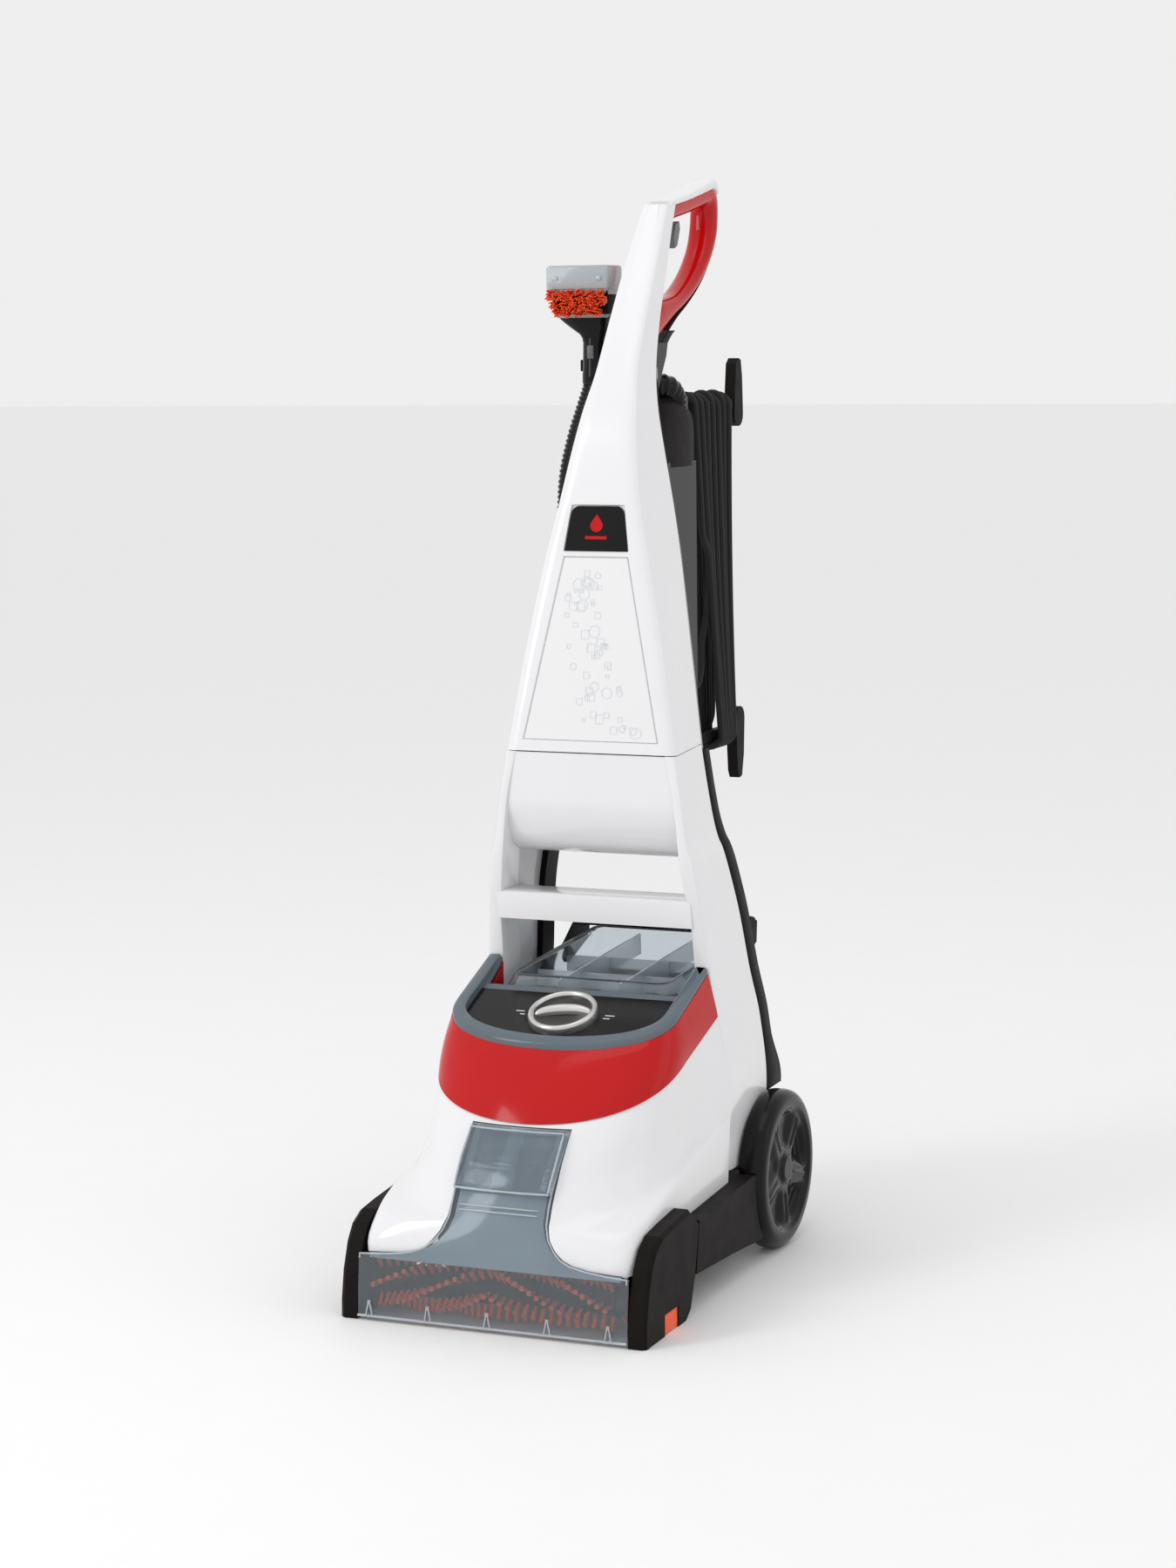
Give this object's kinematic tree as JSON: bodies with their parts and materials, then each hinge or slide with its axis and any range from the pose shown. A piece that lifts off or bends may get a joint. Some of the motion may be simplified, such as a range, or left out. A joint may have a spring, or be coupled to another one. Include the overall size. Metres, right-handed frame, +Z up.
{
  "type": "carpet cleaner",
  "caption": "Upright carpet washer with a clear brush nozzle, water tank, reclining handle frame, wound power cord and a hose with a hand tool.",
  "frame": {"origin": "on the floor at the middle of the machine's footprint, power cord left out", "axes": "+Z up, -Y towards the nozzle, +X across the machine"},
  "size_m": [0.326, 0.693, 1.1],
  "materials": {
    "white_gloss": "gloss white moulding",
    "black_plastic": "satin black moulding",
    "red_gloss": "gloss red moulding",
    "smoke_clear": "smoke-tinted clear plastic",
    "bristle": "orange-red nylon bristle",
    "silver_knob": "satin silver plated plastic",
    "duct_grey": "dark grey duct plastic",
    "belt_rubber": "ribbed rubber",
    "steel": "plain steel",
    "motor_grey": "grey plastic",
    "bladder_clear": "soft clear film",
    "hose_black": "corrugated black hose",
    "cord_rubber": "black rubber sheath"
  },
  "bodies": {
    "base": {"base_tray": "black_plastic", "side_rail_left": "black_plastic", "side_rail_right": "black_plastic", "end_cap_left": "black_plastic", "end_cap_right": "black_plastic", "edge_brush_left": "bristle", "edge_brush_right": "bristle", "foot_hood": "white_gloss", "red_band": "red_gloss", "control_deck": "smoke_clear", "nozzle_window": "smoke_clear", "window_latch": "smoke_clear", "suction_duct": "duct_grey", "brush_motor": "steel", "vacuum_motor": "motor_grey", "water_pump": "motor_grey", "drive_belt": "belt_rubber", "axle": "steel"},
    "handle": {"upper_frame": "white_gloss", "accent_panel": "white_gloss", "badge": "black_plastic", "lower_frame": "white_gloss", "rear_cover": "black_plastic", "rear_leg_left": "black_plastic", "rear_leg_right": "black_plastic", "grip_cap": "white_gloss", "hand_grip": "red_gloss", "hook_lower": "black_plastic", "hose": "hose_black", "hose_cuff": "black_plastic", "tool_body": "black_plastic", "tool_head": "smoke_clear", "tool_bristles": "bristle", "tool_clip": "black_plastic", "cord_coil": "cord_rubber", "cord_gland": "cord_rubber", "cord_lead": "cord_rubber", "cord_tail": "cord_rubber", "cord_plug": "cord_rubber"},
    "wheel_l": {"wheel_left": "black_plastic"},
    "wheel_r": {"wheel_right": "black_plastic"},
    "brush": {"brush_core": "black_plastic", "brush_bristles": "bristle"},
    "pulley": {"motor_pulley": "steel"},
    "knob": {"selector_knob": "silver_knob"},
    "tank": {"tank_shell": "smoke_clear", "tank_bladder": "bladder_clear", "tank_lid": "smoke_clear"},
    "bail": {"tank_handle": "black_plastic"},
    "hook": {"hook_upper": "black_plastic"},
    "trigger": {"trigger": "motor_grey"},
    "button": {"tool_button": "motor_grey"},
    "pedal_power": {"power_pedal": "red_gloss"},
    "pedal_recline": {"recline_pedal": "motor_grey"}
  },
  "joints": [
    {"name": "handle_recline", "type": "hinge", "parent": "base", "child": "handle", "pos_m": [0, 0.046, 0.082], "axis": [1, 0, 0], "range_deg": [-42, 0]},
    {"name": "wheel_left_spin", "type": "hinge", "parent": "base", "child": "wheel_l", "pos_m": [0.1495, 0.046, 0.082], "axis": [1, 0, 0], "continuous": true},
    {"name": "wheel_right_spin", "type": "hinge", "parent": "base", "child": "wheel_r", "pos_m": [-0.1495, 0.046, 0.082], "axis": [1, 0, 0], "continuous": true},
    {"name": "brush_spin", "type": "hinge", "parent": "base", "child": "brush", "pos_m": [0, -0.306, 0.032], "axis": [1, 0, 0], "continuous": true},
    {"name": "motor_pulley_spin", "type": "hinge", "parent": "base", "child": "pulley", "pos_m": [0.123, -0.225, 0.052], "axis": [1, 0, 0], "continuous": true},
    {"name": "selector_turn", "type": "hinge", "parent": "base", "child": "knob", "pos_m": [0, -0.16015, 0.26799], "axis": [0, -0.3633, 0.9317], "range_deg": [0, 120]},
    {"name": "tank_slide", "type": "slide", "parent": "base", "child": "tank", "axis": [0, 0.9659, 0.2588], "range_m": [0, 0.48]},
    {"name": "tank_bail_lift", "type": "hinge", "parent": "tank", "child": "bail", "pos_m": [0, 0.07, 0.29], "axis": [1, 0, 0], "range_deg": [0, 60]},
    {"name": "cord_hook_turn", "type": "hinge", "parent": "handle", "child": "hook", "pos_m": [0, 0.333, 0.86], "axis": [0, 1, 0], "range_deg": [0, 180]},
    {"name": "trigger_pull", "type": "hinge", "parent": "handle", "child": "trigger", "pos_m": [0, 0.15, 1.05], "axis": [1, 0, 0], "range_deg": [0, 10], "stiffness_Nm_per_rad": 0.4},
    {"name": "tool_button_press", "type": "slide", "parent": "handle", "child": "button", "axis": [0, 1, 0], "range_m": [0, 0.0009], "stiffness_N_per_m": 400},
    {"name": "power_pedal_press", "type": "slide", "parent": "base", "child": "pedal_power", "axis": [0, 0, -1], "range_m": [0, 0.005], "stiffness_N_per_m": 900, "springref_m": -0.0005},
    {"name": "recline_pedal_press", "type": "slide", "parent": "base", "child": "pedal_recline", "axis": [0, 0, -1], "range_m": [0, 0.005], "stiffness_N_per_m": 900, "springref_m": -0.0005}
  ],
  "couplings": [
    {"joint": "motor_pulley_spin", "follows": "brush_spin", "ratio": 1.3333}
  ]
}
